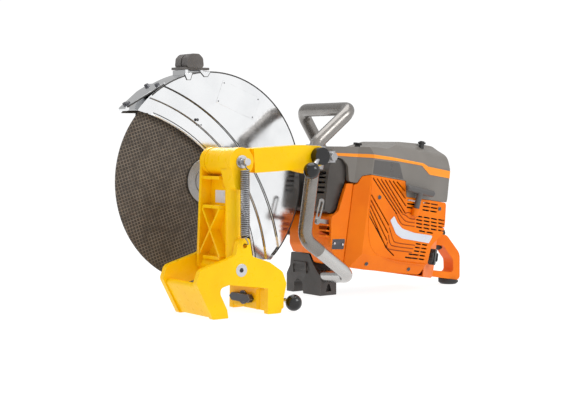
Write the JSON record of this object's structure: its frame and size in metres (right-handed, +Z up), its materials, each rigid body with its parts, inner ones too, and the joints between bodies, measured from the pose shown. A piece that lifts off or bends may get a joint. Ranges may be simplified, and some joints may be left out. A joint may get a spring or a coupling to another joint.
{
  "type": "petrol rail cut-off saw",
  "caption": "Petrol cut-off saw with a guarded abrasive disc, a tube front handle and a swinging two-bar arm that ends in a screw clamp for a rail.",
  "frame": {"origin": "on the floor, under the centre of the bounding box of the saw standing at rest", "axes": "+X from the disc end to the rear handle, +Y from the starter and arm side to the belt side, +Z up"},
  "size_m": [0.832, 0.3336, 0.4854],
  "materials": {
    "disc": "dark grey-brown resin-bonded abrasive, matt",
    "steel": "bare turned steel",
    "dark_steel": "black-oxided steel",
    "alloy": "satin cast aluminium",
    "polished": "polished bright metal",
    "bare_tube": "bare polished tube",
    "grey_tube": "dark grey satin paint on steel tube",
    "orange": "orange moulded plastic, semi-gloss",
    "dark_cover": "dark grey moulded plastic, satin",
    "black": "black moulded plastic",
    "gloss_black": "black glossy plastic",
    "rubber": "black rubber",
    "grip": "dark grey rubber",
    "cast_grey": "dark grey painted aluminium casting",
    "yellow": "yellow powder coat on an aluminium casting",
    "grey_plastic": "grey moulded plastic"
  },
  "bodies": {
    "saw_body": {"crankcase": "alloy", "engine_cylinder": "alloy", "piston": "alloy", "connecting_rod": "steel", "crankshaft": "steel", "flywheel": "alloy", "starter_housing": "orange", "starter_trim": "polished", "starter_rope": "rubber", "top_cover": "dark_cover", "top_stripe": "orange", "cover_latch": "black", "air_filter": "dark_cover", "carburettor": "alloy", "spark_plug": "steel", "muffler": "grey_tube", "muffler_bracket": "polished", "front_panel": "orange", "blank_plate": "dark_steel", "fuel_tank": "orange", "rear_handle": "orange", "rear_foot": "rubber", "vibration_springs": "dark_steel", "cutting_arm": "alloy", "belt_cover": "dark_cover", "drive_belt": "rubber", "clutch_hub": "dark_steel", "spindle_bearings": "steel", "front_handle": "grey_tube", "lower_tube": "bare_tube", "front_stand": "cast_grey", "housing_screws": "dark_steel", "arm_mount": "alloy"},
    "blade": {"cutting_disc": "disc", "outer_flange": "alloy", "inner_flange": "alloy", "blade_bolt": "steel", "spindle": "steel", "driven_pulley": "dark_steel"},
    "drum": {"clutch_drum": "steel"},
    "guard": {"guard_shell": "polished", "guard_visor": "polished", "guard_handle": "grip"},
    "starter_wheel": {"starter_pulley": "black"},
    "pull_handle": {"starter_handle": "grey_plastic"},
    "filler_cap": {"fuel_cap": "black"},
    "trigger": {"throttle_trigger": "black"},
    "lockout": {"throttle_lock": "black"},
    "switch": {"stop_switch": "black"},
    "choke": {"choke_knob": "black"},
    "decompressor": {"decompression_button": "black"},
    "arm_beam": {"upper_arm": "yellow"},
    "locking_lever": {"lock_lever": "gloss_black"},
    "upright": {"upright_arm": "yellow", "upper_pivot_bolt": "steel", "tension_spring": "dark_steel"},
    "clamp": {"rail_clamp": "yellow", "lower_pivot_bolt": "steel"},
    "shoe": {"clamp_shoe": "dark_steel"},
    "screw": {"clamp_screw": "steel"}
  },
  "joints": [
    {"name": "guard_swing", "type": "hinge", "parent": "saw_body", "child": "guard", "pos_m": [-0.21601, 0.07865, 0.23985], "axis": [0, 1, 0], "range_deg": [-15, 35]},
    {"name": "blade_spin", "type": "hinge", "parent": "saw_body", "child": "blade", "pos_m": [-0.21601, 0.07865, 0.23985], "axis": [0, 1, 0], "continuous": true},
    {"name": "drum_spin", "type": "hinge", "parent": "saw_body", "child": "drum", "pos_m": [0.17821, 0.07865, 0.13995], "axis": [0, 1, 0], "continuous": true},
    {"name": "starter_pull", "type": "slide", "parent": "saw_body", "child": "pull_handle", "axis": [0.1541, -0.1736, 0.9727], "range_m": [0, 0.6], "stiffness_N_per_m": 20, "springref_m": -0.15},
    {"name": "starter_spin", "type": "hinge", "parent": "saw_body", "child": "starter_wheel", "pos_m": [0.17821, 0.07865, 0.13995], "axis": [0, 1, 0], "range_deg": [0, 1260]},
    {"name": "fuel_cap_turn", "type": "hinge", "parent": "saw_body", "child": "filler_cap", "pos_m": [0.27379, -0.03435, 0.07217], "axis": [0.4637, -0.8829, -0.0734], "range_deg": [0, 90]},
    {"name": "throttle_pull", "type": "hinge", "parent": "saw_body", "child": "trigger", "pos_m": [0.33717, 0.03865, 0.10161], "axis": [0, -1, 0], "range_deg": [0, 9], "stiffness_Nm_per_rad": 1, "springref_deg": -17.19},
    {"name": "lockout_press", "type": "hinge", "parent": "saw_body", "child": "lockout", "pos_m": [0.35012, 0.03865, 0.10665], "axis": [0, 1, 0], "range_deg": [0, 8], "stiffness_Nm_per_rad": 0.5, "springref_deg": -17.19},
    {"name": "stop_slide", "type": "slide", "parent": "saw_body", "child": "switch", "axis": [0.9877, 0, -0.1564], "range_m": [-0.0035, 0.0035]},
    {"name": "choke_pull", "type": "slide", "parent": "saw_body", "child": "choke", "axis": [0.9877, 0, -0.1564], "range_m": [0, 0.012]},
    {"name": "decompression_press", "type": "slide", "parent": "saw_body", "child": "decompressor", "axis": [-0.1564, 0, -0.9877], "range_m": [0, 0.004], "stiffness_N_per_m": 800, "springref_m": -0.003},
    {"name": "arm_swing", "type": "hinge", "parent": "saw_body", "child": "arm_beam", "pos_m": [-0.09382, -0.12135, 0.28962], "axis": [0, 1, 0], "range_deg": [-8, 25]},
    {"name": "lock_turn", "type": "hinge", "parent": "saw_body", "child": "locking_lever", "pos_m": [-0.09382, -0.12135, 0.28962], "axis": [0, 1, 0], "range_deg": [-40, 60]},
    {"name": "upright_swing", "type": "hinge", "parent": "arm_beam", "child": "upright", "pos_m": [-0.27063, -0.12735, 0.28128], "axis": [0, 1, 0], "range_deg": [-10, 10]},
    {"name": "clamp_swing", "type": "hinge", "parent": "upright", "child": "clamp", "pos_m": [-0.27063, -0.12635, 0.085], "axis": [0, 1, 0], "range_deg": [-12, 12], "deforming": ["tension_spring"]},
    {"name": "screw_turn", "type": "hinge", "parent": "clamp", "child": "screw", "pos_m": [-0.21301, -0.04635, 0.024], "axis": [1, 0, 0], "range_deg": [0, 1260]},
    {"name": "shoe_slide", "type": "slide", "parent": "clamp", "child": "shoe", "axis": [-1, 0, 0], "range_m": [0, 0.014]}
  ],
  "couplings": [
    {"joint": "drum_spin", "follows": "blade_spin", "ratio": 1.8571},
    {"joint": "starter_spin", "follows": "starter_pull", "rad_per_m": 36.364},
    {"joint": "shoe_slide", "follows": "screw_turn", "m_per_rad": 0.00063662}
  ]
}
